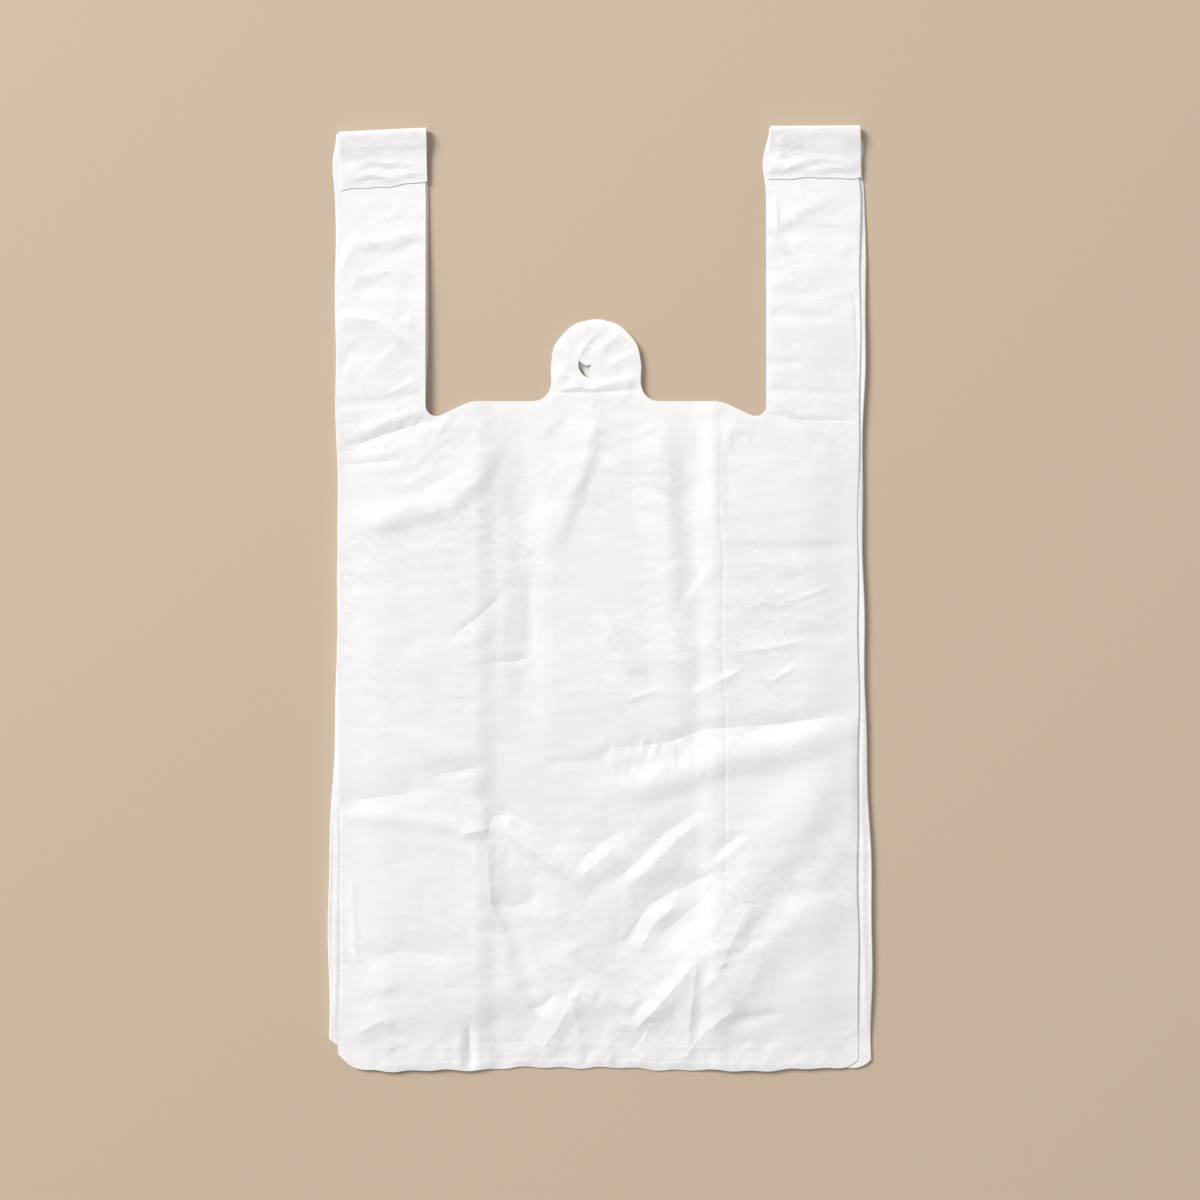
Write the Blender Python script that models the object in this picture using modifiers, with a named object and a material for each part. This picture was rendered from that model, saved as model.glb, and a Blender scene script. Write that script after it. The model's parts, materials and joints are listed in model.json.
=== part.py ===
"""A vest-type plastic carrier bag, lying flat: one gusseted film tube, welded at both ends and punched to shape.

The film is first drawn unrolled and cut to its punched outline, then folded into the flat tube of four plies,
and then laid down as it lies, with creases in its front and both handle ends turned over.
The origin is at the middle of the laid bag's base, +Y points to the handles, +Z up.
"""

import math

import bmesh
import bpy
import numpy as np
from mathutils.geometry import delaunay_2d_cdt

# Driving sizes of the flat bag, in metres
FLAT_WIDTH = 0.280
GUSSET_DEPTH = 0.076
CUT_LENGTH = 0.5325
BODY_LENGTH = 0.3573
HANDLE_WIDTH = 0.049

# The film stands in for film of 0.018 mm, and the gaps stand in for film lying on film
FILM = 0.0003
LEAST_GAP = 0.0003
PLY_STEP = 0.0013

# The punched mouth, its hanging tab and the round pockets at the roots of the handles
TAB_RADIUS = 0.0240
TAB_HEIGHT = 0.0438
TAB_FILLET = 0.0100
POCKET_RADIUS = 0.0058
POCKET_DEPTH = 0.0080
RAMP_ANGLE = 25
RAMP_RADIUS = 0.020

# The hanging slit: half of a punched circle, with its tongue pulled aside at the lower end
SLIT_RADIUS = 0.0078
SLIT_WIDTH = 0.0006
SLIT_SHIFT = -0.0017
EYE_WIDTH = 0.0055
EYE_ANGLE = 218

# Welds across both ends of the film, and the crease line that runs beside the lower one
WELD_EDGE = 0.0060
WELD_LENGTH = 0.0025
WELD_RISE = 0.00012
WELD_INSET = 0.0004
CREASE_LINE = 0.0140

# How the bag lies: turned handle ends, and how far the two rear plies stand out past the front
LEFT_FLAP = 0.0300
LEFT_TILT = 0.045
LEFT_DRIFT = -0.09
RIGHT_FLAP = 0.0272
RIGHT_TILT = 0.006
RIGHT_DRIFT = -0.04
FLAP_CLEARANCE = 0.0006
FLAP_LIFT = 0.0016
FRONT_LOFT = 0.0009
RIGHT_STAND_OUT = 0.0078
LEFT_STAND_OUT = 0.0036
HANDLE_FLARE = 0.0015
CORNER_REACH = 0.018
LEFT_CORNER_RISE = 0.0075
RIGHT_CORNER_RISE = 0.0045
EDGE_WAVE = 0.0008
RIPPLE = 0.0007
SINK_SHARE = 0.8

# Mesh sizes
MIDDLE_COLUMNS = 4
SIDE_COLUMNS = 6
BACK_COLUMNS = 8
GUSSET_COLUMNS = 2
ROW_STEP = 0.0135
REAR_STEP = 0.034
FOLD_STEPS = 3
STEM_ROWS = 6
BEND_STEPS = 6
FLAP_ROWS = 2
ARC_POINTS = 8

# Creases of the front: start and end in hundredths of half the width and of the body's length,
# then the reach to each side and the height in millimetres
CREASES = [
    ((-4, 98), (-19, 79), 15, 2.0),
    ((20, 95), (26, 50), 16, 1.8),
    ((22, 46), (99, 53), 15, 2.4),
    ((-99, 52), (-29, 46), 15, 2.0),
    ((-99, 40), (-44, 37), 14, 2.2),
    ((-44, 37), (-24, 33), 14, 2.4),
    ((-24, 33), (-5, 27), 14, 2.6),
    ((-5, 27), (39, 40), 16, 2.7),
    ((-40, 36), (-39, 17), 14, 2.0),
    ((-7, 11), (17, 4), 11, 1.8),
    ((17, 4), (39, 17), 11, 1.9),
    ((44, 12), (54, 9), 9, 1.2),
    ((-98, 93), (-64, 98), 10, 1.2),
    ((-99, 112), (-78, 108), 10, 1.2),
    ((69, 97), (99, 97), 9, 1.1),
    ((-29, 96), (-29, 41), 15, -1.6),
    ((86, 18), (54, 4), 14, -1.6),
]

HALF_WIDTH = FLAT_WIDTH / 2
FOLD_RADIUS = PLY_STEP / 2
FOLD_CENTRE = HALF_WIDTH - FOLD_RADIUS
INNER_CENTRE = HALF_WIDTH - GUSSET_DEPTH + FOLD_RADIUS
HANDLE_EDGE = HALF_WIDTH - HANDLE_WIDTH
TIGHT_STEP = FILM + LEAST_GAP
BEND_CENTRE = FILM + 3 * TIGHT_STEP + FLAP_CLEARANCE / 2
BEND_LENGTH = math.pi * (BEND_CENTRE - FILM / 2 - 1.5 * TIGHT_STEP)
FLAPS = {-1: (LEFT_FLAP, LEFT_TILT, LEFT_DRIFT), 1: (RIGHT_FLAP, RIGHT_TILT, RIGHT_DRIFT)}
LOW_ROWS = [0, WELD_EDGE, WELD_EDGE + WELD_LENGTH, CREASE_LINE]


def clear_scene():
    for old in list(bpy.data.objects):
        bpy.data.objects.remove(old)


def new_collection(name):
    made = bpy.data.collections.new(name)
    bpy.context.scene.collection.children.link(made)
    return made


def arc(centre, radius, start, end, count=ARC_POINTS):
    """Points round a circle from the start angle to the end angle, in degrees."""
    angles = np.radians(np.linspace(start, end, count))
    return [(centre[0] + radius * math.cos(a), centre[1] + radius * math.sin(a)) for a in angles]


def smooth(value, low, high):
    """0 at low, 1 at high, and an easy slope between them."""
    share = np.clip((value - low) / (high - low), 0, 1)
    return share * share * (3 - 2 * share)


def mouth_points():
    """Half of the punched mouth, from the top of the tab to the edge of the handle."""
    tab_middle = BODY_LENGTH + TAB_HEIGHT - TAB_RADIUS
    pocket_middle = (HANDLE_EDGE - POCKET_RADIUS, BODY_LENGTH - POCKET_DEPTH + POCKET_RADIUS)
    tab = arc((0, tab_middle), TAB_RADIUS, 90, 0, 2 * ARC_POINTS)
    fillet = arc((TAB_RADIUS + TAB_FILLET, BODY_LENGTH + TAB_FILLET), TAB_FILLET, 180, 270)
    pocket = arc(pocket_middle, POCKET_RADIUS, -90 - RAMP_ANGLE, 0)
    ramp = arc((0, BODY_LENGTH - RAMP_RADIUS), RAMP_RADIUS, 90, 90 - RAMP_ANGLE, 4)
    drop = ramp[-1][1] - pocket[0][1]
    shift = pocket[0][0] - ramp[-1][0] - drop / math.tan(math.radians(RAMP_ANGLE))
    ramp = [(x + shift, y) for x, y in ramp]
    return tab + fillet + ramp + pocket


def slit_points():
    """The outline of the hanging slit in the front ply."""
    centre = (SLIT_SHIFT, BODY_LENGTH + TAB_HEIGHT - TAB_RADIUS + 0.0004)
    angles = np.linspace(92, 268, 2 * ARC_POINTS + 1)
    opening = np.clip(1 - np.abs(angles - EYE_ANGLE) / 42, 0, 1) ** 1.3
    inner = SLIT_RADIUS - SLIT_WIDTH - EYE_WIDTH * opening
    outer = arc(centre, SLIT_RADIUS, angles[0], angles[-1], len(angles))
    back = [(centre[0] + r * math.cos(a), centre[1] + r * math.sin(a)) for r, a in zip(inner, np.radians(angles))]
    return outer + back[::-1]


def tube_section():
    """Stations round half of the flat tube, from the middle of the front to the middle of the back."""
    turn = [(math.sin(a), (1 - math.cos(a)) / 2) for a in np.linspace(0, math.pi, FOLD_STEPS + 1)]
    points = [(0.0, 3.0)]
    for centre, way, level in ((FOLD_CENTRE, 1, 3), (INNER_CENTRE, -1, 2), (FOLD_CENTRE, 1, 1)):
        points += [(centre + way * FOLD_RADIUS * out, level - drop) for out, drop in turn]
    points.append((0.0, 0.0))
    x, level = np.array(points).T
    steps = np.hypot(np.diff(x), np.diff(level) * PLY_STEP)
    return np.concatenate([[0], np.cumsum(steps)]), x, level


RUN, RUN_X, RUN_LEVEL = tube_section()
MOUTH = mouth_points()
HALF_RUN = RUN[-1]


def fold_tube(u):
    """x and level on the flat tube for a station u on the unrolled film, 0 at the middle of the front."""
    x = np.interp(np.abs(u), RUN, RUN_X) * np.sign(u)
    return x, np.interp(np.abs(u), RUN, RUN_LEVEL)


def cut_height(x):
    """How far up the film reaches at x."""
    mouth_x, mouth_y = np.array(MOUTH).T
    return np.where(np.abs(x) > HANDLE_EDGE, CUT_LENGTH, np.interp(np.abs(x), mouth_x, mouth_y))


def fold_line(side, x):
    """Height on the film at which a handle starts to turn over."""
    flap, tilt, drift = FLAPS[int(side)]
    return CUT_LENGTH - flap - BEND_LENGTH + tilt * side * (np.abs(x) - (HALF_WIDTH - HANDLE_WIDTH / 2))


def handle_rows(side, x):
    """Heights of the rows that every ply of a handle shares, from its root to its cut end."""
    start = float(fold_line(side, x))
    stem = np.linspace(BODY_LENGTH, start, STEM_ROWS + 1)
    bend = np.linspace(start, start + BEND_LENGTH, BEND_STEPS + 1)
    flap = np.linspace(bend[-1], CUT_LENGTH - WELD_EDGE - WELD_LENGTH, FLAP_ROWS + 1)
    return list(stem[:-1]) + list(bend) + list(flap[1:]) + [CUT_LENGTH - WELD_EDGE, CUT_LENGTH]


FLATS = [(n * (FOLD_STEPS + 1), n * (FOLD_STEPS + 1) + 1) for n in range(4)]
FOLDS = [range(n * (FOLD_STEPS + 1) + 1, (n + 1) * (FOLD_STEPS + 1) + 1) for n in range(3)]


def top_outline(side):
    """The punched edge of half the unrolled film, as (u, y) points from the front's middle to the back's."""
    outline = []
    for start, end in FLATS:
        low, high = sorted((RUN_X[start], RUN_X[end]))
        inside = [(x, y) for x, y in MOUTH if low < x <= high]
        inside += [(HANDLE_EDGE, y) for y in handle_rows(side, HANDLE_EDGE) if y > MOUTH[-1][1] + 0.002]
        if RUN_X[end] < RUN_X[start]:
            inside.reverse()
        outline.append((RUN[start], float(cut_height(RUN_X[start]))))
        outline += [(RUN[start] + abs(x - RUN_X[start]), y) for x, y in inside]
        outline.append((RUN[end], float(cut_height(RUN_X[end]))))
    return outline


def inside_loops(points, loops):
    """True for each point that lies within an odd number of the loops."""
    hits = np.zeros(len(points), int)
    x, y = points.T
    for loop in loops:
        start = np.array(loop)
        end = np.roll(start, -1, axis=0)
        for (ax, ay), (bx, by) in zip(start, end):
            if ay == by:
                continue
            crosses = (y < max(ay, by)) & (y >= min(ay, by))
            hits += crosses & (x < ax + (y - ay) / (by - ay) * (bx - ax))
    return hits % 2 == 1


def row_heights(u, step):
    """Heights of the mesh points in the column at station u."""
    x = float(fold_tube(u)[0])
    if abs(x) > HANDLE_EDGE:
        rows = handle_rows(np.sign(x), x)
        return LOW_ROWS + list(np.arange(CREASE_LINE + 0.8 * step, rows[0] - 0.4 * step, step)) + rows
    return LOW_ROWS + list(np.arange(CREASE_LINE + 0.8 * step, float(cut_height(x)) - 0.4 * step, step))


def distance(x, y, a, b):
    """Distance of points from the line between a and b, and how far along it they lie, from 0 to 1."""
    along = ((x - a[0]) * (b[0] - a[0]) + (y - a[1]) * (b[1] - a[1])) / math.dist(a, b) ** 2
    along = np.clip(along, 0, 1)
    return np.hypot(x - a[0] - along * (b[0] - a[0]), y - a[1] - along * (b[1] - a[1])), along


class Pattern:
    """Points and lines on the unrolled film, to be triangulated together."""

    def __init__(self):
        self.points = []
        self.edges = []

    def line(self, points, closed=False):
        first = len(self.points)
        self.points += [(float(x), float(y)) for x, y in points]
        last = len(self.points) - 1
        self.edges += [(n, n + 1) for n in range(first, last)]
        if closed:
            self.edges.append((last, first))

    def triangles(self, loops):
        made = delaunay_2d_cdt(self.points, self.edges, [], 0, 1e-7)
        points = np.array([tuple(p) for p in made[0]])
        faces = np.array(made[2])
        return points, faces[inside_loops(points[faces].mean(axis=1), loops)]


def front_columns():
    """Where the mesh columns of half the front stand: an even set inside the gussets, and one over them."""
    middle = np.linspace(0, SINK_SHARE * INNER_CENTRE, MIDDLE_COLUMNS + 1)
    return np.concatenate([middle, np.linspace(INNER_CENTRE, FOLD_CENTRE, SIDE_COLUMNS + 1)])


def add_columns(pattern):
    """Mesh points in columns: fixed ones down every fold, and free ones on the flats between them."""
    random = np.random.default_rng(7)
    counts = (0, GUSSET_COLUMNS, GUSSET_COLUMNS, BACK_COLUMNS // 2)
    for side in (-1, 1):
        for n, fold in enumerate(FOLDS):
            step = ROW_STEP if n == 0 else REAR_STEP
            for station in fold:
                u = side * RUN[station]
                pattern.line([(u, y) for y in row_heights(u, step)])
        for n, (start, end) in enumerate(FLATS):
            step = ROW_STEP if n == 0 else REAR_STEP
            columns = front_columns() if n == 0 else np.linspace(RUN[start], RUN[end], counts[n] + 1)
            columns = columns[:-1] if n == 0 else columns[1:] if n == 3 else columns[1:-1]
            for u in side * columns:
                heights = np.array(row_heights(u, step))
                heights = heights[heights < BODY_LENGTH]
                shift = np.zeros((len(heights), 2))
                if n == 0:
                    free = (heights > 2 * CREASE_LINE) & (heights < BODY_LENGTH)
                    shift[free] = random.uniform(-0.2, 0.2, (free.sum(), 2)) * ROW_STEP
                for (du, dy), y in zip(shift, heights):
                    near = [distance(u + du, y + dy, a, b)[0] < 0.0045 for a, b, reach, rise in FRONT_CREASES]
                    if n > 0 or y < 2 * CREASE_LINE or not any(near):
                        pattern.points.append((float(u + du), float(y + dy)))


def add_handle_rows(pattern):
    """Lines across each strip of film that becomes a handle, shared by all its plies."""
    for side in (-1, 1):
        for start, fold, end in ((0, FOLDS[0], 1), (2, FOLDS[2], 3)):
            first = RUN[FLATS[start][0]] + abs(HANDLE_EDGE - RUN_X[FLATS[start][0]])
            last = RUN[FLATS[end][1]] - abs(HANDLE_EDGE - RUN_X[FLATS[end][1]])
            stations = np.concatenate([np.linspace(first, RUN[fold[0]], 5), RUN[fold],
                                       np.linspace(RUN[fold[-1]], last, 5)])
            rows = [handle_rows(side, x) for x in fold_tube(side * stations)[0]]
            for heights in list(zip(*rows))[1:-1]:
                pattern.line(zip(side * stations, heights))


def unrolled_film():
    """The film cut to its punched outline and slits, as (u, y) points and triangles."""
    pattern = Pattern()
    left, right = top_outline(-1), top_outline(1)
    outline = [(-u, y) for u, y in reversed(left)] + right[1:] + [(HALF_RUN, 0), (-HALF_RUN, 0)]
    slit = slit_points()
    rear_slit = [(-HALF_RUN - x, y) for x, y in slit]
    for loop in (outline, slit, rear_slit):
        pattern.line(loop, closed=True)
    for a, b, reach, height in FRONT_CREASES:
        count = max(2, round(math.dist(a, b) / 0.009))
        shares = np.linspace(0, 1, count + 1)
        pattern.line([(a[0] + (b[0] - a[0]) * t, a[1] + (b[1] - a[1]) * t) for t in shares])
    add_columns(pattern)
    add_handle_rows(pattern)
    return pattern.triangles([outline, slit, rear_slit])


def front_lift(x, y):
    """How far the loose front ply stands off its resting level."""
    lift = FRONT_LOFT * smooth(HALF_WIDTH - np.abs(x), 0, 0.4 * GUSSET_DEPTH)
    lift = lift * (1 - smooth(y, 0.87 * BODY_LENGTH, BODY_LENGTH))
    for a, b, reach, height in FRONT_CREASES:
        away, along = distance(x, y, a, b)
        taper = np.minimum(1, 4 * np.minimum(along, 1 - along) + 0.35)
        lift = lift + height * taper * np.clip(1 - away / reach, 0, 1) ** 1.3
    u, v = x / HALF_WIDTH, y / HALF_WIDTH
    lift = lift + RIPPLE * np.abs(np.sin(8.5 * u + 3.2 * v + 1)) * np.abs(np.sin(6.6 * v - 4.3 * u))
    ends = smooth(y, WELD_EDGE + WELD_LENGTH, 3 * CREASE_LINE)
    ends = ends * (1 - smooth(y, BODY_LENGTH + LEFT_FLAP, CUT_LENGTH - 2 * LEFT_FLAP))
    return np.maximum(lift, 0) * ends


def turn_over(x, y, x_out, y_out, z):
    """Turn the handle ends over onto the front, each about its own fold line and drifting to one side."""
    for side in (-1, 1):
        flap, tilt, drift = FLAPS[side]
        handle = (x * side > 0) & (np.abs(x) > HANDLE_EDGE - 1e-6)
        past = np.where(handle, np.maximum(y - fold_line(side, x), 0), 0)
        turn = math.pi * np.minimum(past / BEND_LENGTH, 1)
        flat = np.maximum(past - BEND_LENGTH, 0)
        radius = BEND_CENTRE - z
        x_out = x_out + drift * flat
        y_out = y_out - past - flat + np.where(past > 0, radius * np.sin(turn), 0)
        rise = FLAP_LIFT * smooth(flat, 0.004, flap)
        z = np.where(past > 0, BEND_CENTRE - radius * np.cos(turn) + rise, z)
    return np.stack([x_out, y_out, z], axis=-1)


def lay(x, y, level):
    """Where a point of the flat bag comes to rest: x, y and ply level from 0 to 3 in, position out."""
    x, y, level = (np.asarray(value, float) for value in (x, y, level))
    away = np.abs(x)
    side = np.where(x < 0, -1.0, 1.0)
    body = smooth(y, WELD_EDGE + WELD_LENGTH, 3 * CREASE_LINE)
    loft = body * (1 - smooth(y, BODY_LENGTH, CUT_LENGTH - 2 * LEFT_FLAP))
    step = TIGHT_STEP + (PLY_STEP - TIGHT_STEP) * loft
    sink = (2 - 1.1 * body) * step * (1 - smooth(away, SINK_SHARE * INNER_CENTRE, INNER_CENTRE))
    z = FILM / 2 + level * step - level / 3 * sink + np.clip(level - 2, 0, 1) * front_lift(x, y)
    rear = np.clip(2 - level, 0, 1) * smooth(away, INNER_CENTRE, FOLD_CENTRE)
    right_out = RIGHT_STAND_OUT * (1 - 0.28 * smooth(y, 0.3 * BODY_LENGTH, 1.1 * BODY_LENGTH))
    left_out = LEFT_STAND_OUT * (1 - smooth(y, 0.34 * BODY_LENGTH, 0.53 * BODY_LENGTH))
    left_out = left_out * smooth(y, 0.6 * CREASE_LINE, 1.2 * CREASE_LINE)
    flare = HANDLE_FLARE * smooth(y, 0.85 * BODY_LENGTH, 1.17 * BODY_LENGTH)
    flare = flare * smooth(away, HANDLE_EDGE, HALF_WIDTH)
    x_out = x + side * flare + rear * np.where(x < 0, -left_out, right_out)
    corner = np.clip((away - HALF_WIDTH) / CORNER_REACH + 1, 0, 1) ** 3 * (1 - smooth(y, 0, 2 * CREASE_LINE))
    wave = EDGE_WAVE * np.sin(5.3 * x / HALF_WIDTH + 2.2) * (1 - smooth(y, 0, 6 * CREASE_LINE))
    y_out = y + np.where(x < 0, LEFT_CORNER_RISE, RIGHT_CORNER_RISE) * corner + wave
    return turn_over(x, y, x_out, y_out, z)


def mesh_object(name, points, faces, collection):
    mesh = bpy.data.meshes.new(name)
    mesh.from_pydata([tuple(p) for p in points], [], [tuple(int(n) for n in face) for face in faces])
    made = bpy.data.objects.new(name, mesh)
    collection.objects.link(made)
    return made


def weld_bar(x_stations, low, high, levels):
    """A bar that joins the plies between two heights on the film; its last level stands proud."""
    ring = [(low, level) for level in levels] + [(high, level) for level in reversed(levels)]
    rows = []
    for x in x_stations:
        row = lay([x] * len(ring), [y for y, level in ring], [level for y, level in ring])
        row[len(levels) - 1:len(levels) + 1, 2] += FILM / 2 + WELD_RISE
        rows.append(row)
    count = len(ring)
    faces = [tuple(range(count)), tuple(reversed(range((len(rows) - 1) * count, len(rows) * count)))]
    for r in range(len(rows) - 1):
        for n in range(count):
            a, b = r * count + n, r * count + (n + 1) % count
            faces.append((a, a + count, b + count, b))
    return np.concatenate(rows), faces


def weld_bars(collection):
    """The bottom weld and the two handle welds, as one cutter object."""
    end = HALF_WIDTH + FILM / 8
    half = front_columns() + WELD_INSET
    half = np.concatenate([half[1:MIDDLE_COLUMNS:2], half[MIDDLE_COLUMNS:-1]])
    bottom = np.concatenate([[-end], -half[::-1], half, [end]])
    handle = np.concatenate([np.linspace(HANDLE_EDGE, FOLD_CENTRE, 4)[:-1] + WELD_INSET, [end]])
    low, high = WELD_EDGE + WELD_INSET, WELD_EDGE + WELD_LENGTH - WELD_INSET
    bars = [weld_bar(bottom, low, high, [0, 1, 2, 3])]
    for side in (-1, 1):
        bars.append(weld_bar(side * handle, CUT_LENGTH - high, CUT_LENGTH - low, [3, 2, 1, 0]))
    points = np.concatenate([bar[0] for bar in bars])
    starts = np.cumsum([0] + [len(bar[0]) for bar in bars[:-1]])
    faces = [tuple(n + start for n in face) for start, bar in zip(starts, bars) for face in bar[1]]
    made = mesh_object("weld_bars", points, faces, collection)
    shape = bmesh.new()
    shape.from_mesh(made.data)
    bmesh.ops.triangulate(shape, faces=shape.faces)
    bmesh.ops.recalc_face_normals(shape, faces=shape.faces)
    shape.to_mesh(made.data)
    shape.free()
    made.hide_render = True
    made.display_type = "WIRE"
    return made


def laid_film(collection):
    """The unrolled film folded and laid down, as one open surface whose back seam is closed."""
    pattern, faces = unrolled_film()
    x, level = fold_tube(pattern[:, 0])
    made = mesh_object("carrier_bag", lay(x, pattern[:, 1], level), faces, collection)
    shape = bmesh.new()
    shape.from_mesh(made.data)
    bmesh.ops.remove_doubles(shape, verts=shape.verts, dist=0.00001)
    loose = [v for v in shape.verts if not v.link_faces]
    bmesh.ops.delete(shape, geom=loose, context="VERTS")
    shape.to_mesh(made.data)
    shape.free()
    return made


def film_material():
    material = bpy.data.materials.new("white_film")
    material.use_nodes = True
    shader = material.node_tree.nodes["Principled BSDF"]
    shader.inputs["Base Color"].default_value = (0.86, 0.86, 0.87, 1)
    shader.inputs["Roughness"].default_value = 0.28
    return material


CREASE_GRID = np.array([FLAT_WIDTH / 2, BODY_LENGTH]) / 100
FRONT_CREASES = [(np.array(a) * CREASE_GRID, np.array(b) * CREASE_GRID, reach / 1000, height / 1000)
                 for a, b, reach, height in CREASES]

clear_scene()
parts = new_collection("plastic_carrier_bag")
cutters = new_collection("cutters")
bag = laid_film(parts)
bars = weld_bars(cutters)

low, high = (pick([v.co[:] for v in bag.data.vertices], axis=0) for pick in (np.min, np.max))
shift = (-(low[0] + high[0]) / 2, -(low[1] + high[1] + FILM / 2) / 2, 0)
for made in (bag, bars):
    for vertex in made.data.vertices:
        vertex.co = [value + move for value, move in zip(vertex.co, shift)]

skin = bag.modifiers.new("film", "SOLIDIFY")
skin.thickness = FILM
skin.offset = 0
bag.modifiers.new("flat faces", "TRIANGULATE")
weld = bag.modifiers.new("welds", "BOOLEAN")
weld.operation = "UNION"
weld.solver = "EXACT"
weld.object = bars
bag.data.materials.append(film_material())
bars.data.materials.append(bag.data.materials[0])
bag.data.polygons.foreach_set("use_smooth", [True] * len(bag.data.polygons))
bag.data.set_sharp_from_angle(angle=math.radians(32))
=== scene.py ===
# %% [markdown]
# # A plastic carrier bag, laid flat
#
# This lesson dresses one piece: a vest-type carrier bag of thin white film, lying flat with
# its two handle ends turned over. The construction model gives the size and the place.
# Everything here is about how thin film looks: folds, crumples, gloss and soft light.

# %% Setup
import json
import math

import bmesh
import bpy
import numpy as np
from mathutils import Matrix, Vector
from mathutils.bvhtree import BVHTree
from mathutils.geometry import delaunay_2d_cdt

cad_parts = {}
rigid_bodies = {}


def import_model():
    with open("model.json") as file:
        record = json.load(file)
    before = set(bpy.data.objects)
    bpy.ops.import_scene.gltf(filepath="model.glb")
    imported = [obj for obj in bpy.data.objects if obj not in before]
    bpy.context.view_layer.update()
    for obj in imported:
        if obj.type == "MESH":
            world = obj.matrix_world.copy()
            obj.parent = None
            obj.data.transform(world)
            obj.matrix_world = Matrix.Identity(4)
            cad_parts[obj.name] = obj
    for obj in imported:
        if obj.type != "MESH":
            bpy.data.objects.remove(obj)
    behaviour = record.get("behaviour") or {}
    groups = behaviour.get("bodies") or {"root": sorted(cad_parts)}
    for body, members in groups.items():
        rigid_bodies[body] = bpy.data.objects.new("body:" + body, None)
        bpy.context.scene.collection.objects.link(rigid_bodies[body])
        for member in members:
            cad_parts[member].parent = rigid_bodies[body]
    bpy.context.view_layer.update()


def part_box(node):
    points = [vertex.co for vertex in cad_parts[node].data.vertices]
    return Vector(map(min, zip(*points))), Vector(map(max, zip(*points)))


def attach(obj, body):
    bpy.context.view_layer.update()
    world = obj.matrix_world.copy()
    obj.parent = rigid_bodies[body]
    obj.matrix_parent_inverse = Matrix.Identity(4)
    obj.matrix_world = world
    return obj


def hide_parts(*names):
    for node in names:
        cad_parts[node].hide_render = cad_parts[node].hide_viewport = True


for thing in list(bpy.data.objects):
    bpy.data.objects.remove(thing)
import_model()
bag_low, bag_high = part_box("carrier_bag")
print("the bag measures", [round((b - a) * 1000, 1) for a, b in zip(bag_low, bag_high)], "mm")

# %% [markdown]
# ## The sizes of the flat bag
#
# A vest carrier starts as a tube of film with a tuck, called a gusset, down each side.
# Pressed flat it is four plies thick at the sides and two in the middle. These are the same
# sizes as in the construction model, so the film made here fits the place of its solid.

# %% Sizes in metres
FLAT_WIDTH = 0.280
GUSSET_DEPTH = 0.076
CUT_LENGTH = 0.5325
BODY_LENGTH = 0.3573
HANDLE_WIDTH = 0.049
PLY_STEP = 0.0013
TIGHT_STEP = 0.0006
FILM = 0.0003

HALF_WIDTH = FLAT_WIDTH / 2
FOLD_RADIUS = PLY_STEP / 2
FOLD_CENTRE = HALF_WIDTH - FOLD_RADIUS
INNER_CENTRE = HALF_WIDTH - GUSSET_DEPTH + FOLD_RADIUS
HANDLE_EDGE = HALF_WIDTH - HANDLE_WIDTH
print("opened, the tube is", round((FLAT_WIDTH + 2 * GUSSET_DEPTH) * 1000), "mm wide")

# %% [markdown]
# ## The punched outline
#
# One blow of a shaped knife cuts the mouth, the round hanging tab and the two handles
# through all the plies. Half of the outline is enough, because the knife is symmetric. It is
# built from arcs, as a toolmaker would draw it.

# %% The mouth from the tab to the handle
TAB_RADIUS, TAB_HEIGHT, TAB_FILLET = 0.0240, 0.0438, 0.0100
POCKET_RADIUS, POCKET_DEPTH = 0.0058, 0.0080
RAMP_ANGLE, RAMP_RADIUS = 25, 0.020


def arc(centre, radius, start, end, count):
    """Points round a circle between two angles in degrees."""
    angles = np.radians(np.linspace(start, end, count))
    return [(centre[0] + radius * math.cos(a), centre[1] + radius * math.sin(a)) for a in angles]


def smooth(value, low, high):
    """0 at low, 1 at high, and an easy slope between them."""
    share = np.clip((value - low) / (high - low), 0, 1)
    return share * share * (3 - 2 * share)


def mouth_points():
    tab = arc((0, BODY_LENGTH + TAB_HEIGHT - TAB_RADIUS), TAB_RADIUS, 90, 0, 26)
    fillet = arc((TAB_RADIUS + TAB_FILLET, BODY_LENGTH + TAB_FILLET), TAB_FILLET, 180, 270, 12)
    pocket_centre = (HANDLE_EDGE - POCKET_RADIUS, BODY_LENGTH - POCKET_DEPTH + POCKET_RADIUS)
    pocket = arc(pocket_centre, POCKET_RADIUS, -90 - RAMP_ANGLE, 0, 14)
    ramp = arc((0, BODY_LENGTH - RAMP_RADIUS), RAMP_RADIUS, 90, 90 - RAMP_ANGLE, 7)
    drop = ramp[-1][1] - pocket[0][1]
    shift = pocket[0][0] - ramp[-1][0] - drop / math.tan(math.radians(RAMP_ANGLE))
    return tab + fillet + [(x + shift, y) for x, y in ramp] + pocket


MOUTH = mouth_points()
print("the mouth's outline has", len(MOUTH), "points a side")

# %% [markdown]
# ## The hanging slit
#
# The tab carries a half-round slit, so that the bag can hang on a rack. Its tongue is pulled
# aside at the lower end, which opens a dark eye. The slit is one closed loop: the punched
# arc on the outside, and the tongue's edge on the inside.

# %% The slit's outline
SLIT_SHIFT = (-0.0017, 0.0004)
SLIT_CENTRE = (SLIT_SHIFT[0], BODY_LENGTH + TAB_HEIGHT - TAB_RADIUS + SLIT_SHIFT[1])
SLIT_RADIUS, SLIT_WIDTH = 0.0078, 0.00012
SLIT_START, SLIT_END, SLIT_COUNT = 92, 268, 45
EYE_WIDTH, REAR_EYE_WIDTH = 0.0072, 0.0016
EYE_ANGLE, EYE_REACH, EYE_BLUNTNESS = 216, 46, 0.85


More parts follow.
